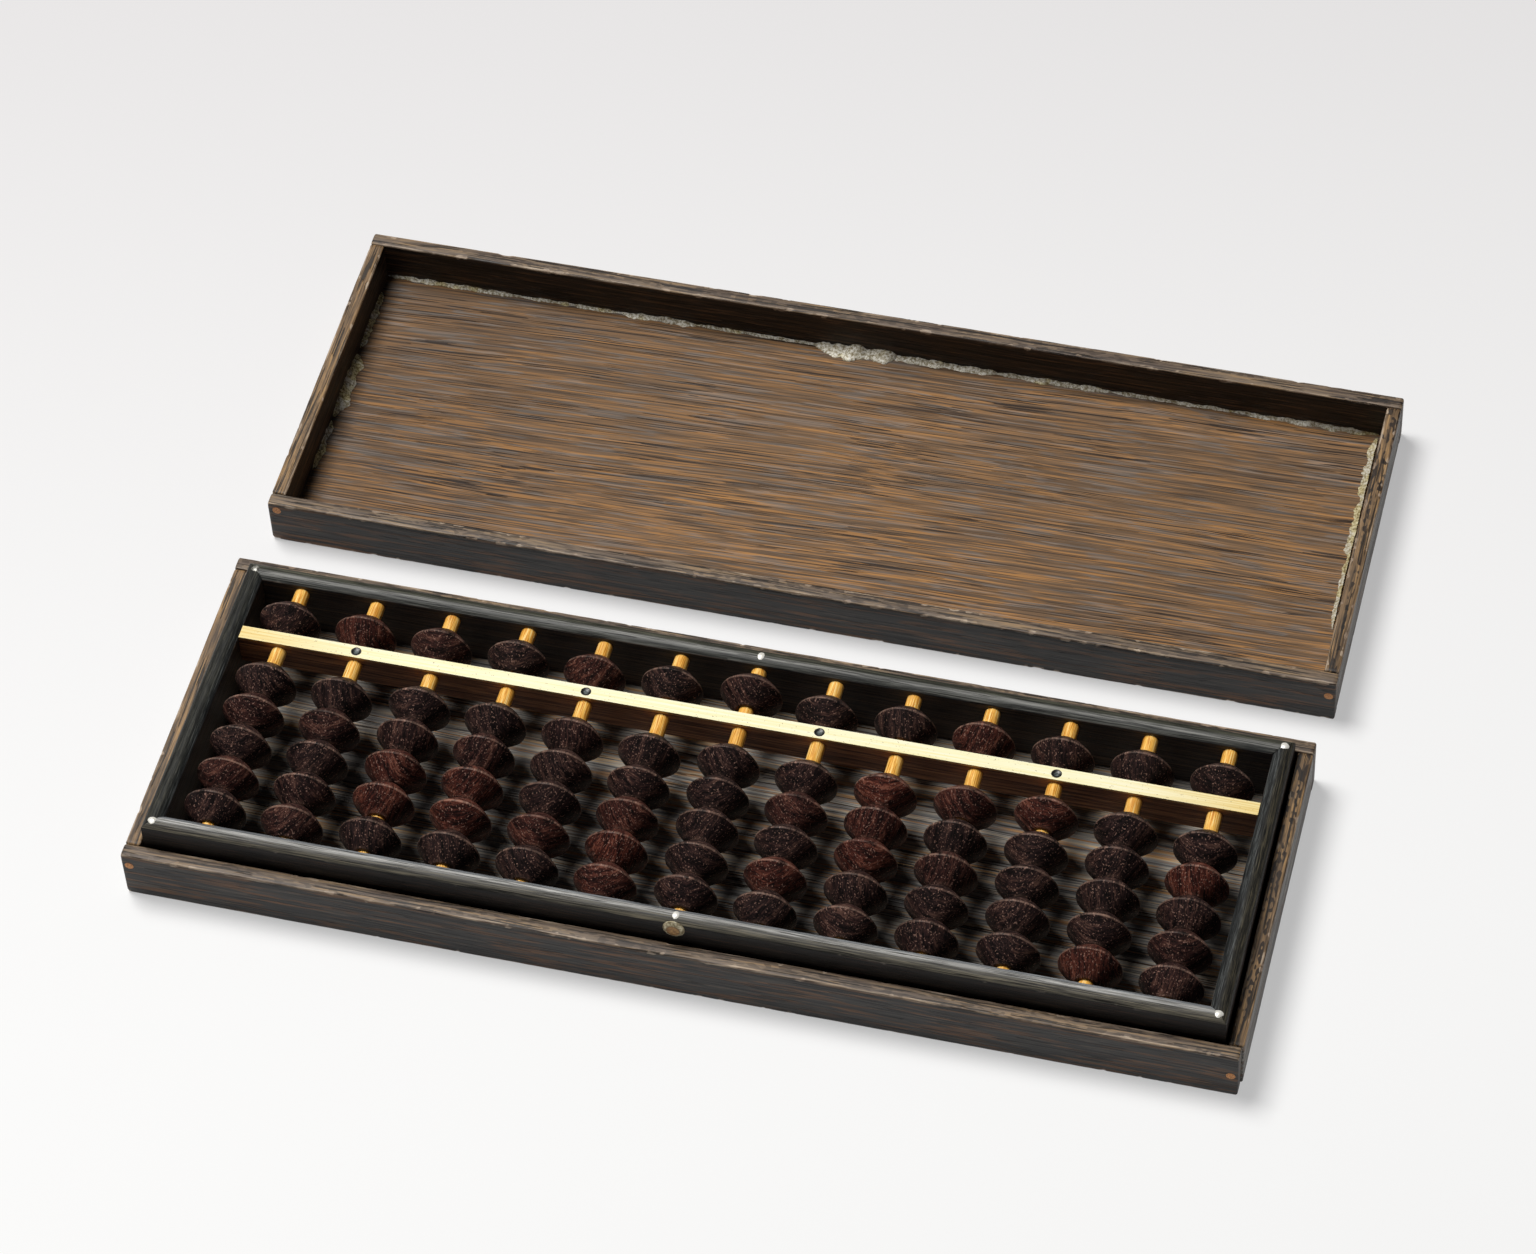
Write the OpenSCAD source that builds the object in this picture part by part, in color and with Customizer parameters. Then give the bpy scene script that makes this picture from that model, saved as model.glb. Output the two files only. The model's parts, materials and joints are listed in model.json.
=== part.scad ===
// A thirteen-rod Japanese abacus in its two-part wooden case.
// The abacus lies in the tray, with its front edge standing a little proud.
// The cover lies open behind the tray, inside up.
// Lengths are millimetres. +X runs along the case, +Y points to the cover, +Z is up.
// The origin is the centre of the tray's underside.

/* [Beads] */
// Diameter of a bead at its rim
bead_d = 14; // [11:0.1:14.8]
// Thickness of a bead along its rod
bead_t = 9; // [7:0.1:10]
// Diameter of the small flat at each end of a bead
bead_end_d = 5; // [4.6:0.1:6]
// Width of the flat land round a bead's rim
bead_land = 0.6; // [0.2:0.1:1.6]
// How far a bead's cone swells beyond a straight line
bead_swell = 0.18; // [0:0.02:0.4]
// Radial play of a bead on its rod
bead_play = 0.12; // [0.05:0.01:0.2]
// Gap between neighbouring lower beads
bead_gap = 0.1; // [0.05:0.05:0.4]

/* [Rods and decks] */
// Distance between neighbouring rods
rod_pitch = 17.5; // [16:0.1:20]
// Diameter of a bamboo rod
rod_d = 3.4; // [2.6:0.1:3.8]
// How far a rod enters each long rail
rod_seat = 2.5; // [1.5:0.1:2.7]
// Depth of the rods' axes under the crown of the rails
rod_depth = 3.5; // [3.2:0.1:5]
// Free travel of an upper bead between its stops
upper_travel = 5; // [3:0.1:8]
// Free travel of a full stack of lower beads between its stops
lower_travel = 6.4; // [4.6:0.1:9]
// Distance from an end rod's axis to the short rail
end_space = 9.2; // [7.6:0.1:12]

/* [Abacus frame] */
// Height of a frame rail
frame_h = 15.2; // [13.5:0.1:18]
// Width of a frame rail
rail_w = 4.2; // [4:0.1:6]
// Rise of a rail's rounded crown above its side edges
crown_rise = 0.9; // [0.4:0.1:1.4]
// Thickness of the crossbar
bar_t = 3.4; // [2.8:0.1:4.5]
// Height of the crossbar without its strip
bar_h = 7.2; // [6:0.1:8]
// Depth of the crossbar's pale strip under the crown
strip_depth = 0.7; // [0.3:0.1:0.9]
// Thickness of the pale strip
strip_t = 0.6; // [0.3:0.1:0.7]
// Length of the tenon at each end of the crossbar
tenon_l = 1.6; // [1:0.1:2.5]
// Shoulder round the crossbar's tenon
tenon_shoulder = 0.8; // [0.4:0.1:1.2]
// Diameter of a unit marker
marker_d = 2.3; // [1.2:0.1:2.4]
// Depth of a unit marker
marker_l = 0.9; // [0.7:0.05:0.95]
// Diameter of a silver frame pin
pin_d = 2.1; // [1.4:0.1:2.6]
// Length of a pin through a corner
corner_pin_l = 8; // [4:0.5:11]
// Length of a pin over the middle rod
middle_pin_l = 1.1; // [0.9:0.05:1.2]
// Height of a pin's domed head above the wood
pin_dome = 0.15; // [0.05:0.05:0.4]

/* [Front stud] */
// Diameter of the brass stud's head
stud_d = 4.8; // [3:0.1:5.4]
// How far the stud's head stands off the rail
stud_proud = 0.75; // [0.5:0.05:0.8]
// Thickness of the head at its edge
stud_edge = 0.2; // [0.1:0.05:0.4]
// Width of the bevel round the head
stud_bevel = 0.9; // [0.5:0.1:1.3]
// Depth of the stud's axis under the crown
stud_depth = 2.1; // [2:0.1:2.6]
// Diameter of the stud's shank
stud_shank_d = 1.2; // [0.8:0.1:1.3]
// Length of the stud's shank
stud_shank_l = 1.2; // [0.8:0.1:1.3]

/* [Case] */
// Thickness of the case's rails
wall = 3.5; // [3:0.1:5]
// Thickness of the tray's floor and of the cover's board
board_t = 2.2; // [1.6:0.1:3]
// Width of the rebate that holds a board
rebate = 1.4; // [0.8:0.1:2]
// Height of the tray
tray_h = 13.4; // [11:0.1:16]
// Height of the cover
cover_h = 12.5; // [12:0.1:16]
// Softened width of the case's arrises
arris = 0.4; // [0.1:0.05:0.6]
// Play between the abacus and the tray's short rails
end_play = 0.6; // [0.4:0.1:2]
// Play between the leaning abacus and the tray's long rails
side_play = 0.25; // [0.2:0.05:1]
// How far the abacus's front edge stands up from the tray's floor
front_lift = 2.4; // [0:0.1:3]
// Distance between the tray and the open cover
cover_gap = 16.9; // [5:0.1:40]
// How far the cover lies to the right of the tray
cover_shift = 1.2; // [-5:0.1:5]
// Diameter of a wooden peg in the case's corners
peg_d = 2; // [1:0.1:2.2]
// Length of a wooden peg
peg_l = 9; // [6:0.5:16]

/* [Hidden] */
rod_count = 13;
lower_count = 5;
marked_rods = [2, 5, 8, 11];
// The beads stand where fingers left them: one distance for each rod, left to right
// From the crossbar to the upper bead
upper_rest = [0.4, 0.3, 0.3, 0.7, 0.4, 0.9, 2.6, 0.2, 1, 0.5, 0.2, 0.2, 0.4];
// From the front rail to the lower stack
front_rest = [1.2, 0.7, 1, 1.2, 0.9, 0.2, 1.1, 0.4, 0.6, 0.7, 1.2, 1.5, 0.5];
// Stacks that stand apart: the rod, the beads in front of the wide gap, and the gap's extra width
wide_gaps = [[3, 1, 0.9], [10, 4, 0.4], [11, 4, 1]];
// The pegs stand where they were driven in, left and right: the distance from the end, and the share of the height
tray_peg_spots = [[1.7, 0.75], [2.1, 0.52]];
cover_peg_spots = [[2.1, 0.84], [1.6, 0.65]];
fit_play = 0.02;
rod_fit = 0.05;
seat_play = 0.03;
overcut = 1;
round_fn = 64;

bead_r = bead_d / 2;
rod_r = rod_d / 2;
rod_z = frame_h - rod_depth;
upper_deck = bead_t + upper_travel;
lower_deck = lower_count * bead_t + (lower_count - 1) * bead_gap + lower_travel;
inner_l = (rod_count - 1) * rod_pitch + 2 * end_space;
inner_w = lower_deck + bar_t + upper_deck;
frame_l = inner_l + 2 * rail_w;
frame_w = inner_w + 2 * rail_w;
crown_r = (pow(rail_w / 2, 2) + pow(crown_rise, 2)) / (2 * crown_rise);
deck_front = -inner_w / 2;
bar_front = deck_front + lower_deck;
bar_back = bar_front + bar_t;
bar_y = (bar_front + bar_back) / 2;
strip_top = frame_h - strip_depth;
bar_top = strip_top - strip_t;

tilt = asin(front_lift / frame_w);
lean = (tray_h - board_t) * sin(tilt);
cavity_w = frame_w * cos(tilt) + lean + 2 * side_play;
case_l = frame_l + 2 * (end_play + wall);
case_w = cavity_w + 2 * wall;
seat_y = cavity_w / 2 - side_play - lean;
cover_y = case_w + cover_gap;

function two_digits(number) = number < 10 ? str("0", number) : str(number);
function numbered(name) = [for (rod = [1 : rod_count]) str(name, "_", two_digits(rod))];
function rod_x(rod) = (rod - (rod_count + 1) / 2) * rod_pitch;
function corners(x, y) = [for (side = [-1, 1], end = [-1, 1]) [side * x, end * y]];

// Lays the abacus flat, back edge on the tray's floor and front edge raised
module in_tray() {
  translate([0, seat_y, board_t + seat_play])
    rotate([-tilt, 0, 0])
      translate([0, -frame_w / 2, 0])
        children();
}

// Moves what is drawn about the tray's centre to where the open cover lies
module in_cover() {
  translate([cover_shift, cover_y, 0])
    children();
}

// A cylinder that runs towards +Y from the given point
module along_y(start, length, radius) {
  translate(start)
    rotate([-90, 0, 0])
      cylinder(h = length, r = radius, $fn = round_fn);
}

// Case
// A rectangle with softened corners, centred on its width and standing on its base
module soft_section(width, height, soft) {
  polygon([
    [-width / 2 + soft, 0], [width / 2 - soft, 0], [width / 2, soft], [width / 2, height - soft],
    [width / 2 - soft, height], [-width / 2 + soft, height], [-width / 2, height - soft], [-width / 2, soft]
  ]);
}

// The pegs through the front rail, and the same ones turned round for the back rail
module pegs(height, spots, play) {
  for (turn = [0, 180], side = [0, 1])
    rotate([0, 0, turn])
      translate([(2 * side - 1) * (case_l / 2 - spots[side][0]), -(case_w - peg_l) / 2, spots[side][1] * height])
        rotate([90, 0, 0])
          cylinder(h = peg_l + 2 * play, r = peg_d / 2 + play, center = true, $fn = round_fn);
}

module board() {
  translate([-case_l / 2 + wall - rebate, -case_w / 2 + wall - rebate, 0])
    cube([case_l - 2 * (wall - rebate), case_w - 2 * (wall - rebate), board_t]);
}

// The front rail of the tray or the cover, rebated for the board
module long_rail(height, spots) {
  difference() {
    intersection() {
      translate([0, -(case_w - wall) / 2, 0])
        rotate([90, 0, 90])
          linear_extrude(height = case_l, center = true)
            soft_section(wall, height, arris);
      translate([0, -case_w / 2, 0])
        linear_extrude(height = height)
          soft_section(case_l, case_w, arris);
    }
    board();
    pegs(height, spots, fit_play);
  }
}

// The left rail of the tray or the cover, between the long rails
module short_rail(height, spots) {
  difference() {
    translate([-(case_l - wall) / 2, 0, 0])
      rotate([90, 0, 0])
        linear_extrude(height = case_w - 2 * wall, center = true)
          soft_section(wall, height, arris);
    board();
    pegs(height, spots, fit_play);
  }
}

module tray_floor() {
  color("#4a3a2c")
    board();
}

module tray_long_rail(turn) {
  color("#3b332d")
    rotate([0, 0, turn])
      long_rail(tray_h, tray_peg_spots);
}

module tray_short_rail(turn) {
  color("#54402d")
    rotate([0, 0, turn])
      short_rail(tray_h, tray_peg_spots);
}

module tray_pegs() {
  color("#a8622c")
    pegs(tray_h, tray_peg_spots, 0);
}

module cover_board() {
  color("#5a432d")
    in_cover()
      board();
}

module cover_long_rail(turn) {
  color("#3b332d")
    in_cover()
      rotate([0, 0, turn])
        long_rail(cover_h, cover_peg_spots);
}

module cover_short_rail(turn) {
  color("#54402d")
    in_cover()
      rotate([0, 0, turn])
        short_rail(cover_h, cover_peg_spots);
}

module cover_pegs() {
  color("#a8622c")
    in_cover()
      pegs(cover_h, cover_peg_spots, 0);
}

// Abacus frame, drawn about its own centre with its underside at z = 0
module rail_section() {
  intersection() {
    translate([-rail_w / 2, 0])
      square([rail_w, frame_h]);
    union() {
      translate([0, frame_h - crown_r])
        circle(r = crown_r, $fn = 2 * round_fn);
      translate([-rail_w / 2, 0])
        square([rail_w, frame_h - crown_rise]);
    }
  }
}

// A rail along X with mitred ends and its outer face towards -Y
module mitred_rail(length) {
  difference() {
    rotate([90, 0, 90])
      linear_extrude(height = length, center = true)
        rail_section();
    for (end = [0, 1])
      mirror([end, 0, 0])
        translate([length / 2, -rail_w / 2, -overcut])
          rotate([0, 0, 45])
            translate([0, -2 * rail_w, 0])
              cube([3 * rail_w, 4 * rail_w, frame_h + 2 * overcut]);
  }
}

module pin_holes() {
  for (spot = corners((frame_l - rail_w) / 2, (frame_w - rail_w) / 2))
    translate([spot[0], spot[1], frame_h - corner_pin_l])
      cylinder(h = corner_pin_l + overcut, r = pin_d / 2 + fit_play, $fn = round_fn);
  for (end = [-1, 1])
    translate([0, end * (frame_w - rail_w) / 2, frame_h - middle_pin_l])
      cylinder(h = middle_pin_l + overcut, r = pin_d / 2 + fit_play, $fn = round_fn);
}

module rod_holes() {
  for (rod = [1 : rod_count])
    along_y([rod_x(rod), deck_front - rod_seat, rod_z], inner_w + 2 * rod_seat, rod_r + rod_fit);
}

module stud_hole() {
  along_y([0, -frame_w / 2 - overcut, frame_h - stud_depth], overcut + stud_shank_l, stud_shank_d / 2 + fit_play);
}

module frame_front_rail() {
  color("#1c1b1d")
    in_tray()
      difference() {
        translate([0, -(frame_w - rail_w) / 2, 0])
          mitred_rail(frame_l);
        rod_holes();
        pin_holes();
        stud_hole();
      }
}

module frame_back_rail() {
  color("#1c1b1d")
    in_tray()
      difference() {
        translate([0, (frame_w - rail_w) / 2, 0])
          rotate([0, 0, 180])
            mitred_rail(frame_l);
        rod_holes();
        pin_holes();
      }
}

// A short rail of the frame: side is -1 for the left one and 1 for the right one
module frame_short_rail(side) {
  color("#1c1b1d")
    in_tray()
      difference() {
        translate([side * (frame_l - rail_w) / 2, 0, 0])
          rotate([0, 0, side * 90])
            mitred_rail(frame_w);
        tenon(side, fit_play);
        pin_holes();
      }
}

// The stub at one end of the crossbar, or its mortise where there is play
module tenon(side, play) {
  translate([side * (inner_l + tenon_l) / 2, bar_y, bar_top - bar_h / 2])
    cube([tenon_l, bar_t - 2 * (tenon_shoulder - play), bar_h - 2 * (tenon_shoulder - play)], center = true);
}

module marker_cylinders(play, extra) {
  for (rod = marked_rods)
    translate([rod_x(rod), bar_y, strip_top - marker_l])
      cylinder(h = marker_l + extra, r = marker_d / 2 + play, $fn = round_fn);
}

module crossbar() {
  color("#3a241b")
    in_tray()
      difference() {
        union() {
          translate([-inner_l / 2, bar_front, bar_top - bar_h])
            cube([inner_l, bar_t, bar_h]);
          tenon(-1, 0);
          tenon(1, 0);
        }
        rod_holes();
        marker_cylinders(fit_play, overcut);
      }
}

module crossbar_strip() {
  color("#efdf9f")
    in_tray()
      difference() {
        translate([-inner_l / 2, bar_front, bar_top])
          cube([inner_l, bar_t, strip_t]);
        marker_cylinders(fit_play, overcut);
      }
}

module unit_markers() {
  color("#2b2a28")
    in_tray()
      marker_cylinders(0, 0);
}

// A round pin that stands on z = 0 and ends in a shallow dome
module domed_pin(length, dome) {
  dome_r = (pow(pin_d / 2, 2) + pow(dome, 2)) / (2 * dome);
  rotate_extrude($fn = round_fn)
    intersection() {
      square([pin_d / 2, length + dome]);
      union() {
        square([pin_d / 2, length]);
        translate([0, length + dome - dome_r])
          circle(r = dome_r, $fn = 4 * round_fn);
      }
    }
}

module frame_pins() {
  crown_drop = crown_r - sqrt(pow(crown_r, 2) - pow(pin_d / 2, 2));
  color("#cfcdc6")
    in_tray() {
      for (spot = corners((frame_l - rail_w) / 2, (frame_w - rail_w) / 2))
        translate([spot[0], spot[1], frame_h - corner_pin_l])
          domed_pin(corner_pin_l - crown_drop, crown_drop + pin_dome);
      for (end = [-1, 1])
        translate([0, end * (frame_w - rail_w) / 2, frame_h - middle_pin_l])
          domed_pin(middle_pin_l - crown_drop, crown_drop + pin_dome);
    }
}

module front_stud() {
  color("#a8884c")
    in_tray()
      translate([0, -frame_w / 2, frame_h - stud_depth])
        rotate([90, 0, 0])
          rotate_extrude($fn = round_fn)
            polygon([
              [0, -stud_shank_l], [stud_shank_d / 2, -stud_shank_l], [stud_shank_d / 2, 0], [stud_d / 2, 0],
              [stud_d / 2, stud_edge], [stud_d / 2 - stud_bevel, stud_proud], [0, stud_proud]
            ]);
}

// Rods and beads
module rod_piece(rod) {
  color("#d9a24a")
    in_tray()
      along_y([rod_x(rod), deck_front - rod_seat, rod_z], inner_w + 2 * rod_seat, rod_r);
}

// A bead's outline from its bore to its rim: side is 1 or -1
function half_bead(side) = [
  [rod_r + bead_play, side * bead_t / 2],
  [bead_end_d / 2, side * bead_t / 2],
  [(bead_end_d / 2 + bead_r) / 2 + bead_swell, side * ((bead_t + bead_land) / 4 + bead_swell)],
  [bead_r, side * bead_land / 2]
];

// A bead that is threaded along Y
module bead() {
  back = half_bead(1);
  rotate([-90, 0, 0])
    rotate_extrude($fn = 2 * round_fn)
      polygon(concat(half_bead(-1), [back[3], back[2], back[1], back[0]]));
}

module upper_bead(rod) {
  color("#3a1f1d")
    in_tray()
      translate([rod_x(rod), bar_back + upper_rest[rod - 1] + bead_t / 2, rod_z])
        bead();
}

// Where a lower bead stands: place counts the beads in front of it
function lower_y(rod, place) =
  deck_front + front_rest[rod - 1] + bead_t / 2 + place * (bead_t + bead_gap)
  + max([for (wide = wide_gaps) wide[0] == rod && place >= wide[1] ? wide[2] : 0]);

module lower_beads(rod) {
  color("#3a1f1d")
    in_tray()
      for (place = [0 : lower_count - 1])
        translate([rod_x(rod), lower_y(rod, place), rod_z])
          bead();
}

tray_floor();
tray_long_rail(0);  // tray_front_rail
tray_long_rail(180);  // tray_back_rail
tray_short_rail(0);  // tray_left_rail
tray_short_rail(180);  // tray_right_rail
tray_pegs();
cover_board();
cover_long_rail(0);  // cover_front_rail
cover_long_rail(180);  // cover_back_rail
cover_short_rail(0);  // cover_left_rail
cover_short_rail(180);  // cover_right_rail
cover_pegs();
frame_front_rail();
frame_back_rail();
frame_short_rail(-1);  // frame_left_rail
frame_short_rail(1);  // frame_right_rail
crossbar();
crossbar_strip();
unit_markers();
frame_pins();
front_stud();
for (rod = [1 : rod_count]) {
  rod_piece(rod);
  upper_bead(rod);
  lower_beads(rod);
}
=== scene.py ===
"""The looks of a Japanese abacus in its two-part wooden case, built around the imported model.

Lengths are millimetres until a mesh is made. +X runs along the case, +Y to the open cover, +Z up.
"""
import json
import math
import random

import bpy
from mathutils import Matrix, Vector, noise


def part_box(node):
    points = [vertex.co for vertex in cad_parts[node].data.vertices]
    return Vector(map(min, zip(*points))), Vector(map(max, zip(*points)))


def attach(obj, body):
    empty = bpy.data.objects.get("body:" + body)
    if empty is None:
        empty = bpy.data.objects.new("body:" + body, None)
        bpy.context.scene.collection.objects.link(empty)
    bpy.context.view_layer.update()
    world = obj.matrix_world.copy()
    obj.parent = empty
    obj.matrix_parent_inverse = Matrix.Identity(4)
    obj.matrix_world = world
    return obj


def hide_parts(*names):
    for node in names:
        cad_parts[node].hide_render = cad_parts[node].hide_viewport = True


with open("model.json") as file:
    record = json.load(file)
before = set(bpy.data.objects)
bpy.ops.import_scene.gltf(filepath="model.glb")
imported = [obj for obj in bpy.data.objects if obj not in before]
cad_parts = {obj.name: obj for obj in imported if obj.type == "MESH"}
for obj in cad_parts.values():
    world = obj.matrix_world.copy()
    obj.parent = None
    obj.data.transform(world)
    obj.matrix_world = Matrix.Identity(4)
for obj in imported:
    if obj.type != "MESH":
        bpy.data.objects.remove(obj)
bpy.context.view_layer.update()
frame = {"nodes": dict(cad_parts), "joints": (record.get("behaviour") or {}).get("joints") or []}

MM = 0.001
ROD_COUNT = 13
# A bead as in the model: its thickness along the rod, the land round its rim, the radius of its end
# flats, how far its cones swell, and the radius of its bore
BEAD_T = 9.0
BEAD_LAND = 0.6
BEAD_END_R = 2.5
BEAD_SWELL = 0.18
BEAD_BORE_R = 1.82
# A bead's mesh: the steps round it, and the radius beyond which it is worn and dented
BEAD_SEGMENTS = 64
BEAD_WORN_R = 5
# How far the frame's rails rise from their arrises to the middle of their crowns
FRAME_CROWN = 0.9
# How far the worn rails lie inside the solids, and the steps along their meshes
CASE_SKIN = 0.04
CASE_STEP = 0.6
FRAME_SKIN = 0.03
FRAME_STEP = 0.8


# Small helpers
def clamp(value, low=0.0, high=1.0):
    """The value, kept between low and high."""
    return max(low, min(high, value))


def smooth_step(value, low, high):
    """Rises smoothly from 0 at low to 1 at high."""
    share = clamp((value - low) / (high - low))
    return share * share * (3 - 2 * share)


def linear(hex_colour):
    """A colour written as #rrggbb, in the linear values that the shaders take."""
    parts = [int(hex_colour[i : i + 2], 16) / 255 for i in (1, 3, 5)]
    values = [p / 12.92 if p <= 0.04045 else ((p + 0.055) / 1.055) ** 2.4 for p in parts]
    return (*values, 1.0)


def ripple(x, y, z, seed):
    """Smooth noise from about -1 to 1, the same on every run."""
    return noise.noise(Vector((x + 17.3 * seed, y - 9.1 * seed, z + 3.7 * seed)))


def box_mm(node):
    """The lowest and the highest corner of a node's solids, in millimetres."""
    low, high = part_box(node)
    return low / MM, high / MM


# Finishes
class Finish:
    """A procedural material. Its methods add nodes and give back the socket that holds the result."""

    def __init__(self, name):
        self.material = bpy.data.materials.new(name)
        self.material.use_nodes = True
        self.tree = self.material.node_tree
        self.tree.nodes.clear()

    def node(self, kind, sockets=None, out=0, **settings):
        """Adds a shader node, with its inputs linked or set, and gives back one of its outputs."""
        made = self.tree.nodes.new("ShaderNode" + kind)
        for key, value in settings.items():
            setattr(made, key, value)
        for key, value in (sockets or {}).items():
            if isinstance(value, bpy.types.NodeSocket):
                self.tree.links.new(value, made.inputs[key])
            else:
                made.inputs[key].default_value = value
        return made.outputs[out]

    def place(self, turn=0.0):
        """Where a point is, in millimetres, turned about Z by some degrees."""
        spot = self.node("TexCoord", out="Object")
        spot = self.node("VectorMath", {0: spot, "Scale": 1 / MM}, operation="SCALE")
        return self.node("Mapping", {0: spot, "Rotation": (0, 0, math.radians(turn))})

    def normal_z(self):
        """How far a point's surface faces up."""
        normal = self.node("TexCoord", out="Normal")
        return self.node("SeparateXYZ", {0: normal}, out=2)

    def attribute(self, name, out="Vector"):
        """A value that the mesh holds at each of its points."""
        return self.node("Attribute", out=out, attribute_name=name)

    def parts(self, vector):
        """The three parts of a vector."""
        made = self.tree.nodes.new("ShaderNodeSeparateXYZ")
        self.tree.links.new(vector, made.inputs[0])
        return made.outputs[0], made.outputs[1], made.outputs[2]

    def stretch(self, vector, lengths, shift=(0, 0, 0)):
        """Divides each axis by the length over which the pattern changes there."""
        scale = tuple(1 / length for length in lengths)
        return self.node("Mapping", {0: vector, "Location": shift, "Scale": scale})

    def noise(self, vector, lengths=(1, 1, 1), detail=2.0, rough=0.5, shift=(0, 0, 0)):
        """Noise from 0 to 1 that changes over the given lengths, in millimetres."""
        vector = self.stretch(vector, lengths, shift)
        return self.node("TexNoise", {"Vector": vector, "Scale": 1.0, "Detail": detail, "Roughness": rough})

    def spots(self, vector, lengths, low, high, detail=1.0, rough=0.5, shift=(0, 0, 0)):
        """A mask that is 1 where such noise is above high, and 0 where it is below low."""
        return self.step(self.noise(vector, lengths, detail, rough, shift), low, high)

    def waver(self, vector, lengths, reach, shift=(0, 0, 0)):
        """Moves the points across the grain by a slow noise, so that the figure runs in waves."""
        stretched = self.stretch(vector, lengths, shift)
        wave = self.node("TexNoise", {"Vector": stretched, "Scale": 1.0, "Detail": 1.0}, out=1)
        wave = self.node("VectorMath", {0: wave, 1: (0.5, 0.5, 0.5)}, operation="SUBTRACT")
        wave = self.node("VectorMath", {0: wave, 1: (0, 2 * reach, 2 * reach)}, operation="MULTIPLY")
        return self.node("VectorMath", {0: vector, 1: wave}, operation="ADD")

    def math(self, operation, a, b=0.0):
        """One operation on two values."""
        return self.node("Math", {0: a, 1: b}, operation=operation)

    def scaled(self, value, factor, offset=0.0):
        """The value times a factor, plus an offset."""
        product = self.math("MULTIPLY", value, factor)
        return self.math("ADD", product, offset) if offset else product

    def inverse(self, value):
        """1 minus the value."""
        return self.math("SUBTRACT", 1.0, value)

    def step(self, value, low, high):
        """Rises smoothly from 0 at low to 1 at high."""
        sockets = {"Value": value, "From Min": low, "From Max": high}
        return self.node("MapRange", sockets, interpolation_type="SMOOTHSTEP")

    def ramp(self, value, stops):
        """Turns a value into a colour, by stops of (position, colour)."""
        made = self.tree.nodes.new("ShaderNodeValToRGB")
        self.tree.links.new(value, made.inputs[0])
        elements = made.color_ramp.elements
        while len(elements) < len(stops):
            elements.new(0.5)
        for element, (position, colour) in zip(elements, stops):
            element.position = position
            element.color = linear(colour)
        return made.outputs[0]

    def mix(self, share, a, b):
        """The colour a where the share is 0, and the colour b where it is 1."""
        # A mix node takes its two values by inputs 2 and 3, and its two colours by inputs 6 and 7
        a = linear(a) if isinstance(a, str) else a
        b = linear(b) if isinstance(b, str) else b
        return self.node("Mix", {0: share, 6: a, 7: b}, out=2, data_type="RGBA", blend_type="MIX")

    def overlay(self, colour, other, mask, strength):
        """Lays another colour over the first where the mask is, as strongly as the strength says."""
        return self.mix(self.math("MULTIPLY", mask, strength), colour, other)

    def blend(self, share, a, b):
        """The value a where the share is 0, and the value b where it is 1."""
        return self.node("Mix", {0: share, 2: a, 3: b}, data_type="FLOAT")

    def bump(self, height, depth, strength=1.0):
        """A relief of the given depth in millimetres."""
        return self.node("Bump", {"Height": height, "Distance": depth * MM, "Strength": strength})

    def surface(self, colour, rough, normal=None, **uniform):
        """Ends the material with the main shader. The keyword values are the same all over the surface."""
        sockets = {"Base Color": colour, "Roughness": rough}
        if normal is not None:
            sockets["Normal"] = normal
        for key, value in uniform.items():
            sockets[key.replace("_", " ")] = value
        return self.finish(self.node("BsdfPrincipled", sockets))

    def finish(self, shader):
        """Makes the shader the material's surface."""
        made = self.tree.nodes.new("ShaderNodeOutputMaterial")
        self.tree.links.new(shader, made.inputs["Surface"])
        return self.material


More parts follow.
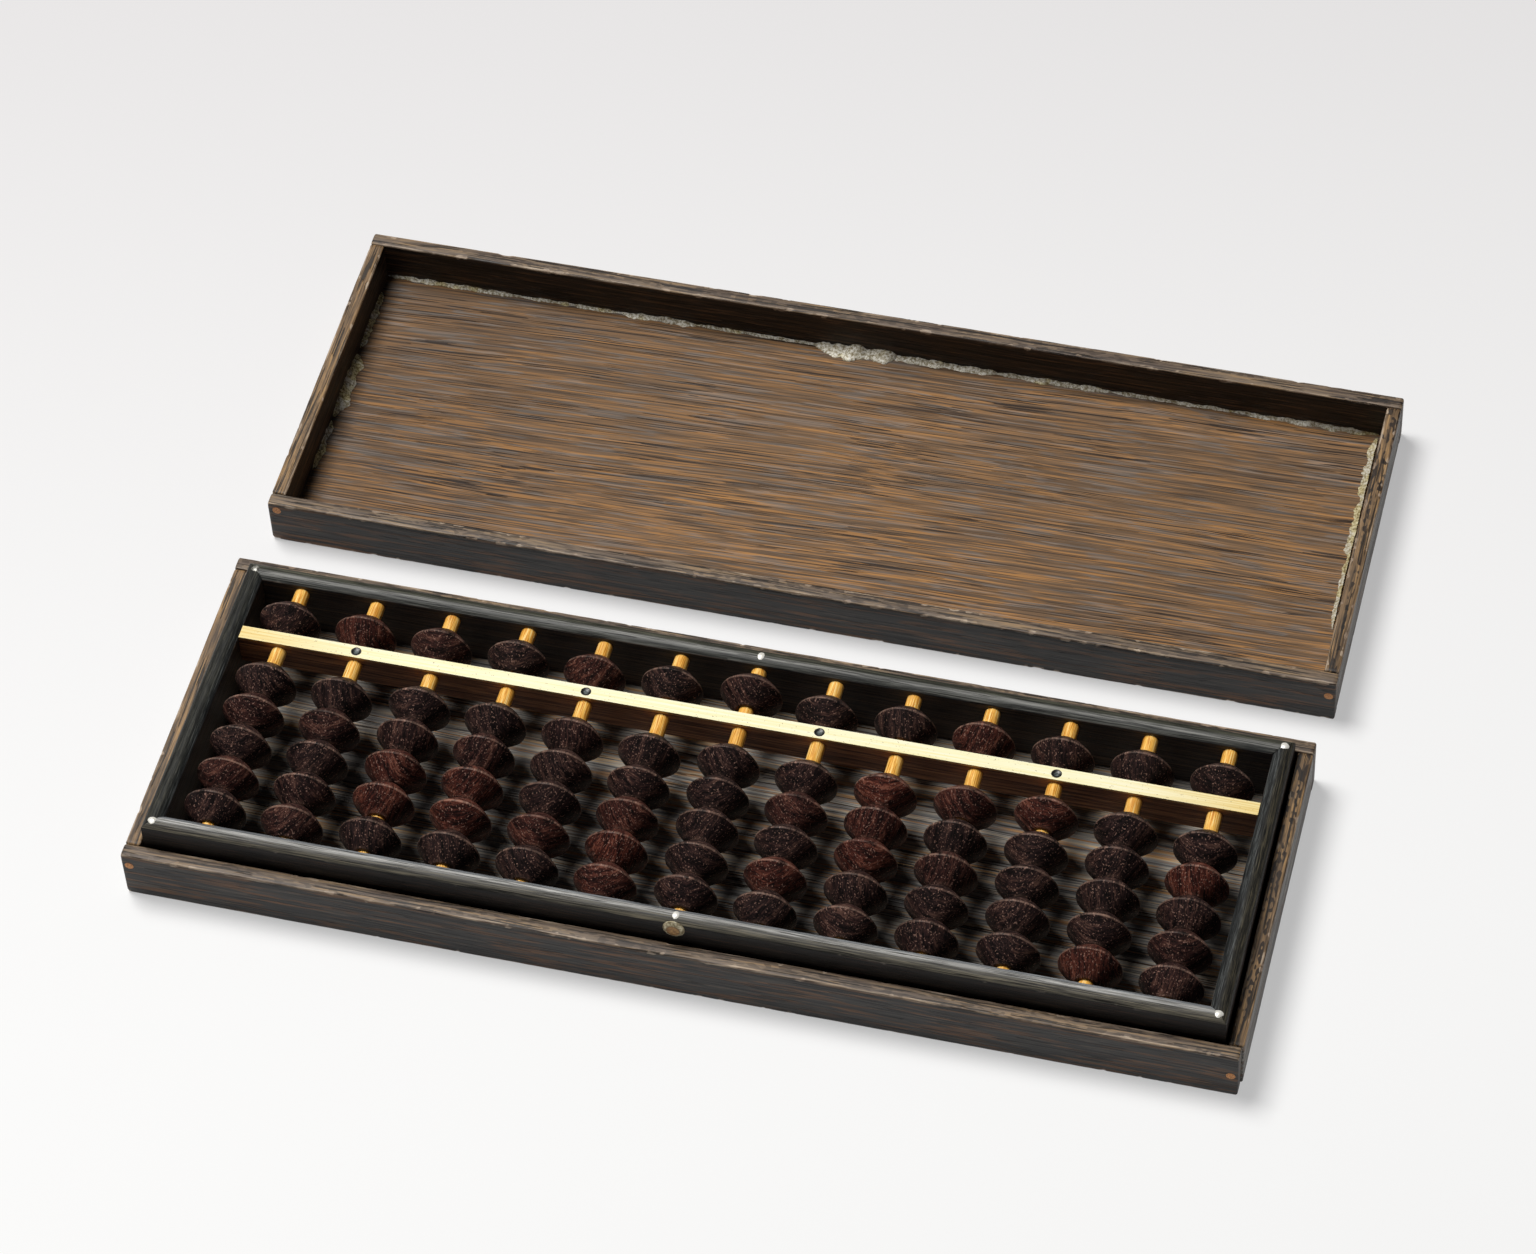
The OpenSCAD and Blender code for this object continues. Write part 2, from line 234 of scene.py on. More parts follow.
def case_rail_finish(name, turn, side_colours, top_colours, dash_strength, shift):
    """Coarse open-pored wood with its grain along a rail, worn pale at its arrises.

    The tops have short dark dashes, which are fainter on the rails at the left.
    """
    f = Finish(name)
    edge, top, inner = f.parts(f.attribute("zones"))
    grain = f.waver(f.place(turn), (45, 9, 9), 0.7, shift)
    streaks = f.noise(grain, (26, 0.7, 0.7), 4, 0.62, shift)
    fine = f.noise(grain, (8, 0.36, 0.36), 3, 0.65, shift)
    figure = f.blend(0.45, streaks, fine)
    patches = f.spots(grain, (18, 1.1, 1.1), 0.49, 0.6, 2, 0.5, shift)
    side = f.ramp(figure, side_colours)
    side = f.overlay(side, f.ramp(figure, [(0.4, "#33241a"), (0.6, "#7b5230")]), patches, 0.8)
    side = f.mix(inner, side, f.ramp(figure, [(0.4, "#231f1e"), (0.52, "#41372f"), (0.64, "#7d6149")]))
    dashes = f.spots(grain, (1.7, 0.8, 0.8), 0.5, 0.57, 0, 0.5, shift)
    crowd = f.spots(grain, (30, 1.5, 1.5), 0.44, 0.53, 1, 0.5, shift)
    dashes = f.math("MULTIPLY", dashes, crowd)
    if turn:
        at_right = f.step(f.parts(f.place())[0], -20, 20)
        dashes = f.math("MULTIPLY", dashes, f.scaled(at_right, 0.8, 0.2))
    upper = f.overlay(f.ramp(figure, top_colours), "#271c14", dashes, dash_strength)
    colour = f.mix(top, side, upper)
    cracks = f.spots(grain, (14, 0.48, 0.48), 0.58, 0.61, 1, 0.4, shift)
    colour = f.overlay(colour, "#15100d", cracks, 0.85)
    worn = f.step(f.math("ADD", edge, f.scaled(fine, 0.7)), 0.95, 1.3)
    colour = f.overlay(colour, f.ramp(fine, [(0.4, "#8b7360"), (0.6, "#c4b29c")]), worn, 0.7)
    relief = f.math("SUBTRACT", f.scaled(fine, 0.4), cracks)
    rough = f.scaled(fine, 0.3, 0.38)
    return f.surface(colour, rough, f.bump(relief, 0.15, 0.8), Specular_IOR_Level=0.4)


def board_finish(name, turn, shift, colours, cool_strength, pore_start):
    """Bare, streaky wood: fine brown and golden lines, grey-blue clouds and long dark open pores.

    The golden lines fade towards the back, and painted shade darkens the wood towards the left. A higher
    pore_start leaves fewer pores.
    """
    f = Finish(name)
    grain = f.waver(f.place(turn), (90, 26, 26), 1.6, shift)
    grain = f.waver(grain, (22, 6, 6), 0.25, shift)
    bands = f.noise(grain, (60, 0.9, 0.9), 2, 0.55, shift)
    fine = f.noise(grain, (34, 0.38, 0.38), 3, 0.65, shift)
    hazes = f.noise(grain, (50, 12, 12), 2, 0.5, shift)
    figure = f.math("ADD", f.scaled(bands, 0.35), f.scaled(fine, 0.65))
    figure = f.math("ADD", figure, f.scaled(f.math("SUBTRACT", hazes, 0.5), 0.12))
    colour = f.ramp(figure, colours)
    x, y, _ = f.parts(f.place())
    golden = f.spots(grain, (20, 0.45, 0.45), 0.56, 0.62, 1, 0.5, (shift[0] + 4, shift[1], 7))
    golden_strength = f.math("SUBTRACT", 0.72, f.scaled(f.step(y, 80, 130), 0.4))
    colour = f.overlay(colour, "#ac7940", golden, golden_strength)
    # Painted shade: the wood is darkened towards the left
    colour = f.overlay(colour, "#3f2e20", f.step(f.scaled(x, -1.0), 10, 115), 0.28)
    cool = f.spots(grain, (15, 1.0, 1.0), 0.53, 0.6, 2, 0.55, (shift[0] + 8, shift[1], 3))
    colour = f.overlay(colour, f.ramp(fine, [(0.4, "#565757"), (0.6, "#7f8080")]), cool, cool_strength)
    crowd = f.spots(grain, (35, 5, 5), 0.4, 0.58, 2, 0.5, shift)
    pores = f.spots(grain, (26, 0.36, 0.36), pore_start, pore_start + 0.014, 1, 0.4, shift)
    pores = f.math("MULTIPLY", pores, f.scaled(crowd, 0.7, 0.3))
    colour = f.overlay(colour, "#20130a", pores, 0.92)
    relief = f.math("SUBTRACT", f.scaled(fine, 0.4), pores)
    rough = f.scaled(fine, 0.3, 0.45)
    return f.surface(colour, rough, f.bump(relief, 0.15, 0.8), Specular_IOR_Level=0.3)


def peg_finish():
    """End grain of a paler wood."""
    f = Finish("peg_end_grain")
    dots = f.noise(f.place(), (0.22, 0.22, 0.22), 3, 0.7)
    colour = f.ramp(dots, [(0.38, "#8a4a22"), (0.5, "#cf8646"), (0.62, "#f0b676")])
    return f.surface(colour, f.scaled(dots, 0.3, 0.45), f.bump(dots, 0.05, 0.5))


def ebony_finish(name, turn, shift, outer_colours, inner_colours, rub_start=0.62, highlight_strength=0.0):
    """Near-black wood. Hands have greyed its crown, most along the inner edge, and scratched it.

    A lower rub_start brings the inner colours further out. The crown's greys are partly wear and partly
    painted sheen, brightest in the front rail's silvery inner colours. The paler line along the middle of
    the crown is a painted highlight.
    """
    f = Finish(name)
    edge, inner, crown = f.parts(f.attribute("zones"))
    grain = f.place(turn)
    streaks = f.noise(grain, (30, 0.42, 0.42), 4, 0.68, shift)
    fine = f.noise(grain, (9, 0.14, 0.14), 2, 0.7, shift)
    figure = f.blend(0.5, streaks, fine)
    body = f.ramp(figure, [(0.4, "#0c0c0d"), (0.5, "#191717"), (0.57, "#2c231f"), (0.64, "#4d3628")])
    inner_face = f.ramp(figure, [(0.4, "#2a2a2d"), (0.5, "#414042"), (0.62, "#6a5a4e")])
    body = f.mix(f.step(inner, 0.9, 0.98), body, inner_face)
    # The inner colours are wear; the front rail's silvery ones are also painted sheen
    rubbed = f.step(f.math("ADD", inner, f.scaled(streaks, 0.5)), rub_start, rub_start + 0.24)
    upper = f.mix(rubbed, f.ramp(figure, outer_colours), f.ramp(figure, inner_colours))
    # Painted highlight: a paler line along the middle of the crown
    middle = f.math("MULTIPLY", f.step(inner, 0.38, 0.55), f.inverse(f.step(inner, 0.62, 0.8)))
    highlight_band = f.ramp(figure, [(0.4, "#6f6d69"), (0.6, "#d2d0cb")])
    upper = f.overlay(upper, highlight_band, middle, highlight_strength)
    colour = f.mix(crown, body, upper)
    cracks = f.spots(grain, (11, 0.16, 0.16), 0.61, 0.65, 1, 0.4, shift)
    colour = f.overlay(colour, "#0c0b0b", cracks, 0.8)
    worn = f.step(f.math("ADD", edge, f.scaled(fine, 0.8)), 1.05, 1.4)
    colour = f.overlay(colour, "#7d746a", worn, 0.45)
    relief = f.math("SUBTRACT", f.scaled(fine, 0.6), cracks)
    rough = f.scaled(fine, 0.5, 0.2)
    return f.surface(colour, rough, f.bump(relief, 0.05, 0.8), Specular_IOR_Level=0.22)


def bar_finish():
    """Dark reddish-brown wood of the crossbar."""
    f = Finish("bar_rosewood")
    grain = f.waver(f.place(), (40, 6, 6), 0.5)
    streaks = f.noise(grain, (28, 0.6, 0.6), 4, 0.65)
    fine = f.noise(grain, (9, 0.18, 0.18), 2, 0.6)
    colour = f.ramp(f.blend(0.4, streaks, fine), [(0.4, "#472b22"), (0.5, "#8a5f4a"), (0.6, "#b98a66")])
    return f.surface(colour, f.scaled(fine, 0.3, 0.35), f.bump(fine, 0.05, 0.5), Specular_IOR_Level=0.4)


def strip_finish():
    """Polished cream strip, more golden at its ends, with a few specks. Its sides are darker gold, painted
    shade.
    """
    f = Finish("cream_strip")
    spot = f.place()
    ends = f.step(f.math("ABSOLUTE", f.parts(spot)[0]), 75, 125)
    fibres = f.noise(spot, (26, 0.3, 0.3), 3, 0.6)
    cream = f.ramp(fibres, [(0.35, "#faf0b6"), (0.5, "#fef8cd"), (0.65, "#fffbdf")])
    golden = f.ramp(fibres, [(0.35, "#e2ba62"), (0.5, "#efd283"), (0.65, "#f8e4a2")])
    colour = f.mix(ends, cream, golden)
    specks = f.spots(spot, (0.5, 0.35, 0.35), 0.7, 0.75)
    colour = f.overlay(colour, "#7a5526", specks, 0.6)
    # Painted shade: the sides are darker gold than the top
    painted_shade_sides = f.inverse(f.step(f.normal_z(), 0.2, 0.8))
    colour = f.overlay(colour, "#a8722a", painted_shade_sides, 0.75)
    return f.surface(colour, f.scaled(fibres, 0.2, 0.25), f.bump(fibres, 0.03, 0.4))


def marker_finish():
    """A dished inlay: a dark ring round a grey centre."""
    f = Finish("marker_inlay")
    cloud = f.noise(f.place(), (0.5, 0.5, 0.5), 2, 0.6)
    grey = f.ramp(cloud, [(0.35, "#30373a"), (0.65, "#6a7371")])
    colour = f.mix(f.step(f.attribute("centre", "Fac"), 0.35, 0.75), "#15130f", grey)
    return f.surface(colour, f.scaled(cloud, 0.2, 0.25))


def silver_finish():
    """Worn silver with fine scratches, near white as a painted reflection of the lamp. The pin at the back
    left is the dullest.
    """
    f = Finish("worn_silver")
    spot = f.place()
    x, y, _ = f.parts(spot)
    cloud = f.noise(spot, (0.6, 0.6, 0.6), 3, 0.6)
    scratch = f.noise(spot, (2.5, 0.08, 0.5), 2, 0.6)
    # Painted reflection: the near-white colour, with little metalness, stands in for the lamp's reflection
    bright_painted_reflection = f.ramp(cloud, [(0.34, "#d5d1c6"), (0.5, "#f2efe6"), (0.66, "#fbfaf5")])
    dull = f.ramp(cloud, [(0.4, "#4f4e4a"), (0.5, "#8a8880"), (0.62, "#c9c7bf")])
    back_left = f.math("MULTIPLY", f.step(f.scaled(x, -1.0), 100, 110), f.step(y, 0, 10))
    colour = f.mix(back_left, bright_painted_reflection, dull)
    return f.surface(colour, f.scaled(scratch, 0.3, 0.25), f.bump(scratch, 0.02, 0.4), Metallic=0.3)


def brass_finish():
    """Tarnished brass: a pale rubbed bevel round an orange-brown face, with a dark groove between."""
    f = Finish("tarnished_brass")
    spot = f.place()
    low, high = box_mm("front_stud")
    x, _, z = f.parts(spot)
    out = f.math("SUBTRACT", x, (low.x + high.x) / 2)
    up = f.math("SUBTRACT", z, (low.z + high.z) / 2)
    reach = f.math("SQRT", f.math("ADD", f.math("MULTIPLY", out, out), f.math("MULTIPLY", up, up)))
    cloud = f.noise(spot, (0.8, 0.8, 0.8), 3, 0.65)
    face = f.ramp(cloud, [(0.38, "#77552f"), (0.5, "#946d3e"), (0.62, "#b08955")])
    bevel = f.ramp(cloud, [(0.38, "#7f745a"), (0.5, "#aa9c7b"), (0.62, "#d8cfb2")])
    colour = f.mix(f.step(reach, 1.4, 1.6), face, bevel)
    groove = f.math("MULTIPLY", f.step(reach, 1.2, 1.42), f.inverse(f.step(reach, 1.5, 1.7)))
    colour = f.overlay(colour, "#3b2c18", groove, 0.4)
    return f.surface(colour, f.scaled(cloud, 0.35, 0.22), f.bump(cloud, 0.03, 0.5), Metallic=0.35)


def bamboo_finish():
    """Amber bamboo with fibres along the rod."""
    f = Finish("amber_bamboo")
    spot = f.place()
    fibres = f.noise(spot, (0.16, 22, 0.16), 3, 0.6)
    colour = f.ramp(fibres, [(0.38, "#c07a26"), (0.47, "#eeac48"), (0.56, "#fdc862"), (0.65, "#ffe3a0")])
    darker = f.spots(spot, (3, 9, 3), 0.5, 0.75, 2)
    colour = f.overlay(colour, "#c07c2c", darker, 0.5)
    rough = f.scaled(fibres, 0.2, 0.25)
    return f.surface(colour, rough, f.bump(fibres, 0.05, 0.6), Specular_IOR_Level=0.5)


def bead_finish():
    """Turned rosewood. Each bead has its own grain and tone; its pale rim is part wear, part painted
    highlight.
    """
    f = Finish("turned_rosewood")
    tone, rim, bore = f.parts(f.attribute("marks"))
    grain = f.waver(f.attribute("grain"), (7, 3, 3), 0.6)
    bands = f.noise(grain, (9, 1.1, 6), 2, 0.6)
    layers = f.noise(grain, (3, 0.22, 1.6), 2, 0.7)
    figure = f.blend(0.5, bands, layers)
    dark = f.ramp(figure, [(0.4, "#100c0c"), (0.48, "#241a1a"), (0.55, "#382725"), (0.63, "#5e453c")])
    red = f.ramp(figure, [(0.4, "#1a0c0b"), (0.48, "#3e1f1a"), (0.55, "#5d3026"), (0.63, "#875444")])
    colour = f.mix(f.step(tone, 0.2, 1.0), dark, red)
    # Pale flecks: partly filled pores, partly painted glints
    flecks_and_glints = f.spots(grain, (0.7, 0.34, 0.34), 0.64, 0.69)
    colour = f.overlay(colour, "#ab8677", flecks_and_glints, 0.7)
    pores = f.spots(grain, (1.1, 0.34, 0.34), 0.6, 0.64, shift=(5, 2, 8))
    colour = f.overlay(colour, "#0a0808", pores, 0.8)
    # Pale rim: partly rubbed wear, partly a painted highlight along the rim
    rubbed = f.math("MULTIPLY", rim, f.step(figure, 0.36, 0.56))
    colour = f.overlay(colour, "#a58674", rubbed, 0.5)
    # Painted shade: the bore and the edge of the hole are near-black
    colour = f.mix(bore, colour, "#120c0a")
    relief = f.math("SUBTRACT", f.scaled(layers, 0.5), pores)
    rough = f.scaled(layers, 0.3, 0.3)
    return f.surface(colour, rough, f.bump(relief, 0.04, 0.7), Specular_IOR_Level=0.15)


def glue_finish():
    """Old granular glue, from white to yellow-brown, and darkest along the cover's right edge."""
    f = Finish("old_glue")
    spot = f.place()
    x = f.parts(spot)[0]
    grains = f.noise(spot, (0.6, 0.6, 0.6), 3, 0.7)
    patches = f.noise(spot, (5, 5, 5), 2, 0.5)
    white = f.ramp(grains, [(0.38, "#8d7f60"), (0.48, "#c4bba3"), (0.58, "#f0ece0")])
    yellow = f.ramp(grains, [(0.38, "#7c6a3c"), (0.48, "#c2b27e"), (0.6, "#efe4b8")])
    aged = f.math("ADD", patches, f.scaled(f.step(f.math("ABSOLUTE", x), 112, 118), 0.14))
    colour = f.mix(f.step(aged, 0.56, 0.66), white, yellow)
    colour = f.overlay(colour, "#6f6244", f.step(x, 100, 110), 0.45)
    return f.surface(colour, f.scaled(grains, 0.3, 0.35), f.bump(grains, 0.15, 0.8))


# Meshes
def make_piece(name, points, faces, material, body, replaced=(), sharp=40, marks=None):
    """Makes a mesh from points in millimetres, puts it on its body and gives it its finish.

    Edges that bend by more than sharp, in degrees, stay sharp. marks holds the points' values by name.
    """
    mesh = bpy.data.meshes.new(name)
    mesh.from_pydata([Vector(p) * MM for p in points], [], faces)
    for key, values in (marks or {}).items():
        if isinstance(values[0], float):
            mesh.attributes.new(key, "FLOAT", "POINT").data.foreach_set("value", values)
        else:
            parts = [part for value in values for part in value]
            mesh.attributes.new(key, "FLOAT_VECTOR", "POINT").data.foreach_set("vector", parts)
    mesh.shade_smooth()
    mesh.set_sharp_from_angle(angle=math.radians(sharp))
    mesh.materials.append(material)
    mesh.update()
    piece = bpy.data.objects.new(name, mesh)
    bpy.context.scene.collection.objects.link(piece)
    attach(piece, body)
    if replaced:
        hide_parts(*replaced)


def tube_faces(ring_count, ring_size, first=0, closed_rings=False):
    """Quads between neighbouring rings, each ring closed on itself."""
    faces = []
    last = ring_count if closed_rings else ring_count - 1
    for ring in range(last):
        a = first + ring * ring_size
        b = first + (ring + 1) % ring_count * ring_size
        for i in range(ring_size):
            j = (i + 1) % ring_size
            faces.append((a + i, a + j, b + j, b + i))
    return faces


def bar_faces(ring_count, ring_size, flipped):
    """The faces of a bar: quads between its rings and one face at each end."""
    faces = tube_faces(ring_count, ring_size)
    last = ring_count * ring_size
    faces.append(tuple(reversed(range(ring_size))))
    faces.append(tuple(range(last - ring_size, last)))
    return flip(faces) if flipped else faces


def flip(faces):
    """Turns the faces' other side out."""
    return [tuple(reversed(face)) for face in faces]


def rounded_outline(corners, spacing):
    """Rounds the corners of an outline and fills its straight sides with points.

    corners holds (u, z, radius). The result holds (u, z, closeness to a rounded arris), and the closeness
    falls to 0 over the length of fade.
    """
    fade = 0.9
    outline = []
    count = len(corners)
    for i, (u, z, radius) in enumerate(corners):
        here = Vector((u, z))
        before = Vector(corners[i - 1][:2])
        after = Vector(corners[(i + 1) % count][:2])
        enter = here + (before - here).normalized() * radius
        leave = here + (after - here).normalized() * radius
        if radius:
            for share in (0, 0.25, 0.5, 0.75, 1):
                bend = enter.lerp(here, share).lerp(here.lerp(leave, share), share)
                outline.append((bend.x, bend.y, 1.0))
        else:
            outline.append((u, z, 0.0))
        stop = after + (here - after).normalized() * corners[(i + 1) % count][2]
        run = (stop - leave).length
        pieces = max(1, round(run / spacing))
        next_round = corners[(i + 1) % count][2] > 0
        for k in range(1, pieces):
            spot = leave.lerp(stop, k / pieces)
            near_start = 1 - run * k / pieces / fade if radius else 0
            near_end = 1 - run * (1 - k / pieces) / fade if next_round else 0
            outline.append((spot.x, spot.y, clamp(max(near_start, near_end))))
    return outline


def case_rail(node, board, case, material, seed, cut=0.0):
    """A rail of the tray or the cover with worn, chipped arrises, rebated for its board.

    u runs across the rail from its outer face, z up and t along it. cut is how far the rail stops short
    at its right or back end.
    """
    low, high = box_mm(node)
    board_low, board_high = box_mm(board)
    along, across = (0, 1) if high.x - low.x > high.y - low.y else (1, 0)
    long_rail = along == 0
    before_board = low[across] + high[across] < board_low[across] + board_high[across]
    outer = low[across] if before_board else high[across]
    inward = 1 if before_board else -1
    width = high[across] - low[across]
    height = high.z - low.z
    board_top = board_high.z - low.z
    overlap = min(high[across], board_high[across]) - max(low[across], board_low[across])
    soft = 0.4
    corners = [
        (0, 0, soft), (0, height, soft), (width, height, soft),
        (width, board_top, 0), (width - overlap, board_top, 0), (width - overlap, 0, 0),
    ]
    outline = rounded_outline(corners, 0.7)
    span = high[along] - low[along]
    round_end, end_zone = 0.12, 0.4
    middle_part = span - 2 * end_zone
    count = round(middle_part / CASE_STEP)
    stations = [0, round_end, end_zone]
    stations += [end_zone + middle_part * k / count for k in range(1, count)]
    stations += [span - end_zone, span - round_end, span]
    if long_rail:
        stop = width - overlap
        stations += [stop - 0.01, stop, span - stop, span - stop + 0.01]
        stations.sort()
    points, zones = [], []
    for t in stations:
        end_distance = min(t, span - t)
        end_inset = 0.28 * (1 - clamp(end_distance / end_zone)) ** 2
        in_notch = not long_rail or stop <= t <= span - stop
        for u, z, arris in outline:
            if not in_notch and z <= board_top + 0.001 and u > width - overlap - 0.001:
                u, z = width, min(z, board_top)
            chipping = ripple(t / 2.6, u, z / 5, seed) + 0.6 * ripple(t / 0.9, u, z, seed)
            chip = smooth_step(chipping, 0.3, 0.9)
            rub = 0.5 + 0.5 * ripple(t / 9, u / 3, z / 3, seed + 2)
            worn = arris * (0.03 + 0.05 * rub + 0.13 * chip)
            inset = CASE_SKIN + 0.02 * ripple(t / 2, u, z, seed + 5) + worn + end_inset
            new_u, new_z = u, z
            if u < width * 0.3 or u > width * 0.7:
                new_u = clamp(u + math.copysign(inset, width / 2 - u), 0, width)
            if z < soft + 0.01:
                new_z = z + inset
            elif z > height - soft - 0.01:
                new_z = z - inset
            spot = [0, 0, low.z + new_z]
            spot[along] = low[along] + clamp(t, CASE_SKIN, span - CASE_SKIN) * (span - cut) / span
            spot[across] = outer + inward * new_u
            points.append(spot)
            top = smooth_step(z, height - soft - 0.05, height - 0.1)
            inner = smooth_step(u, width - 0.45, width - 0.1) * (1 - top)
            ends = 0.8 * smooth_step(0.5 - end_distance, 0.0, 0.5)
            zones.append((max(arris * (0.35 + 0.65 * rub + chip), ends * arris), top, inner))
    faces = bar_faces(len(stations), len(outline), inward * (1 if long_rail else -1) < 0)
    marks = {"zones": zones}
    make_piece(node + "_worn", points, faces, material, case, (node,), marks=marks)


def rod_direction():
    """The direction of the rods, from front to back."""
    for joint in frame["joints"]:
        if joint["name"] == "upper_slide_01":
            return Vector(joint["axis"]).normalized()
    raise ValueError("no bead slides")


def frame_rail(node, material, seed):
    """A mitred rail of the abacus's frame, with a rounded crown and softly worn arrises.

    u runs across the rail from its outer face, z up and t along it, from 0 to 1.
    """
    back = rod_direction()
    axes = (Vector((1, 0, 0)), back, Vector((0, -back.z, back.y)))
    spots = [[v.co.dot(axis) / MM for axis in axes] for v in frame["nodes"][node].data.vertices]
    low = [min(spot[i] for spot in spots) for i in range(3)]
    high = [max(spot[i] for spot in spots) for i in range(3)]
    along, across = (0, 1) if high[0] - low[0] > high[1] - low[1] else (1, 0)
    width, height = high[across] - low[across], high[2] - low[2]
    outer_low = node in ("frame_front_rail", "frame_left_rail")
    shoulder = height - FRAME_CROWN
    radius = ((width / 2) ** 2 + FRAME_CROWN**2) / (2 * FRAME_CROWN)
    bottom_soft, shoulder_soft = 0.25, 0.22
    corners = [(0, 0, bottom_soft), (0, shoulder, shoulder_soft)]
    arc_steps = 10
    for k in range(1, arc_steps):
        u = width * k / arc_steps
        corners.append((u, height - radius + math.sqrt(radius**2 - (u - width / 2) ** 2), 0))
    corners += [(width, shoulder, shoulder_soft), (width, 0, bottom_soft)]
    outline = rounded_outline(corners, 1.2)
    middle = Vector((width / 2, height / 2))
    span = high[along] - low[along]
    count = round(span / FRAME_STEP)
    # The steps are closer together at the mitred ends
    stations = [0, 0.0008, 0.002] + [k / count for k in range(1, count)] + [0.998, 0.9992, 1]
    points, zones = [], []
    for t in stations:
        at_end = t in (0, 1)
        for u, z, arris in outline:
            reach = span / 2 - u - FRAME_SKIN
            place = (2 * t - 1) * reach
            denting = ripple(place / 3, u, z / 4, seed) + 0.5 * ripple(place, u, z, seed)
            dent = smooth_step(denting, 0.35, 0.9)
            inset = 0.01 + 0.015 * ripple(place / 6, u, z, seed + 3)
            inset += arris * (0.05 + 0.13 * dent)
            if at_end:
                inset += 0.06
            pull = (middle - Vector((u, z))).normalized() * max(inset, 0.0)
            new_u = u + pull.x if u < 0.3 or u > width - 0.3 else u
            new_z = z + pull.y if z > shoulder - 1 or z < 1 else z
            spot = [0, 0, low[2] + new_z]
            spot[along] = (low[along] + high[along]) / 2 + place
            spot[across] = low[across] + new_u if outer_low else high[across] - new_u
            points.append(axes[0] * spot[0] + axes[1] * spot[1] + axes[2] * spot[2])
            crown = smooth_step(z, shoulder - 0.05, shoulder + 0.12)
            zones.append((arris * (0.6 + 0.4 * dent), u / width, crown))
    faces = bar_faces(len(stations), len(outline), outer_low == (along == 1))
    marks = {"zones": zones}
    make_piece(node + "_worn", points, faces, material, "abacus", (node,), 50, marks)


def bead_outline():
    """A bead's profile, from its bore round the rim and back.

    Each point is (place along the rod, radius, closeness to the rim, closeness to the bore).
    """
    half = BEAD_T / 2
    land = BEAD_LAND / 2
    rim_r = bead_r()
    start = Vector((half - 0.04, BEAD_END_R + 0.05))
    finish = Vector((land - 0.02, rim_r - 0.05))
    side = [
        (half - 0.3, BEAD_BORE_R, 0, 1), (half - 0.06, BEAD_BORE_R + 0.07, 0, 0.7),
        (half, BEAD_BORE_R + 0.2, 0.2, 0), (half, BEAD_END_R - 0.06, 0.5, 0),
    ]
    bend = Vector((1, 1)).normalized() * BEAD_SWELL
    for share in (0, 0.02, 0.12, 0.25, 0.38, 0.5, 0.62, 0.75, 0.88, 0.96, 0.985, 1):
        spot = start.lerp(finish, share) + bend * math.sin(math.pi * share)
        rim = 0.4 * (1 - smooth_step(share, 0, 0.15))
        side.append((spot.x, spot.y, rim, 0))
    side += [(land - 0.07, rim_r - 0.01, 1, 0), (land - 0.1, rim_r, 1, 0), (0.05, rim_r, 1, 0)]
    mirrored = [(-a, r, rim, bore) for a, r, rim, bore in reversed(side)]
    return side + mirrored


def bead_r():
    """The radius of a bead at its rim."""
    low, high = box_mm("upper_bead_01")
    return (high.x - low.x) / 2


def solid_centres(node, along):
    """The centres of a node's beads, from front to back.

    The next bead starts at the first point that lies more than a bead's thickness further back.
    """
    mesh = frame["nodes"][node].data
    places = sorted(v.co.dot(along) / MM for v in mesh.vertices)
    half = BEAD_T / 2
    hair = 0.02
    low, high = box_mm(node)
    x = (low.x + high.x) / 2
    across = Vector((0, along.z, -along.y))
    lift = sum((v.co.dot(across) for v in mesh.vertices)) / len(mesh.vertices) / MM
    centres = []
    start = places[0]
    while start <= places[-1] - half:
        centres.append(Vector((x, 0, 0)) + along * (start + half) + across * lift)
        later = [place for place in places if place > start + BEAD_T + hair]
        if not later:
            break
        start = later[0]
    return centres


def beads(node, along, material, seed):
    """The beads of one node, each with its own grain, tone and small dents."""
    draw = random.Random(seed)
    outline = bead_outline()
    up = Vector((0, -along.z, along.y))
    side = Vector((1, 0, 0))
    points, faces, grains, marks = [], [], [], []
    for order, centre in enumerate(solid_centres(node, along)):
        turn = draw.uniform(0, 2 * math.pi)
        shift = Vector([draw.uniform(-60, 60) for _ in range(3)])
        tone = draw.random() ** 1.6
        first = len(points)
        for k in range(BEAD_SEGMENTS):
            angle = 2 * math.pi * k / BEAD_SEGMENTS
            out = side * math.cos(angle) + up * math.sin(angle)
            own = angle + turn
            for a, r, rim, bore in outline:
                denting = ripple(3 * math.cos(own), 3 * math.sin(own), a / 2, seed + order)
                dent = smooth_step(denting, 0.35, 0.8)
                radius = r - 0.22 * dent * rim - 0.01 if r > BEAD_WORN_R else r
                points.append(centre + along * a + out * radius)
                grains.append(shift + Vector((a, r * math.cos(own), r * math.sin(own))))
                # How pale the rim is: partly wear, partly painted highlight
                rubbed = rim * (0.55 + 0.45 * ripple(math.cos(own), math.sin(own), 0, seed + order + 40))
                marks.append((tone, clamp(rubbed), float(bore)))
        faces += tube_faces(BEAD_SEGMENTS, len(outline), first, closed_rings=True)
    own_marks = {"grain": [tuple(grain) for grain in grains], "marks": marks}
    make_piece(node + "_turned", points, flip(faces), material, node, (node,), 28, own_marks)


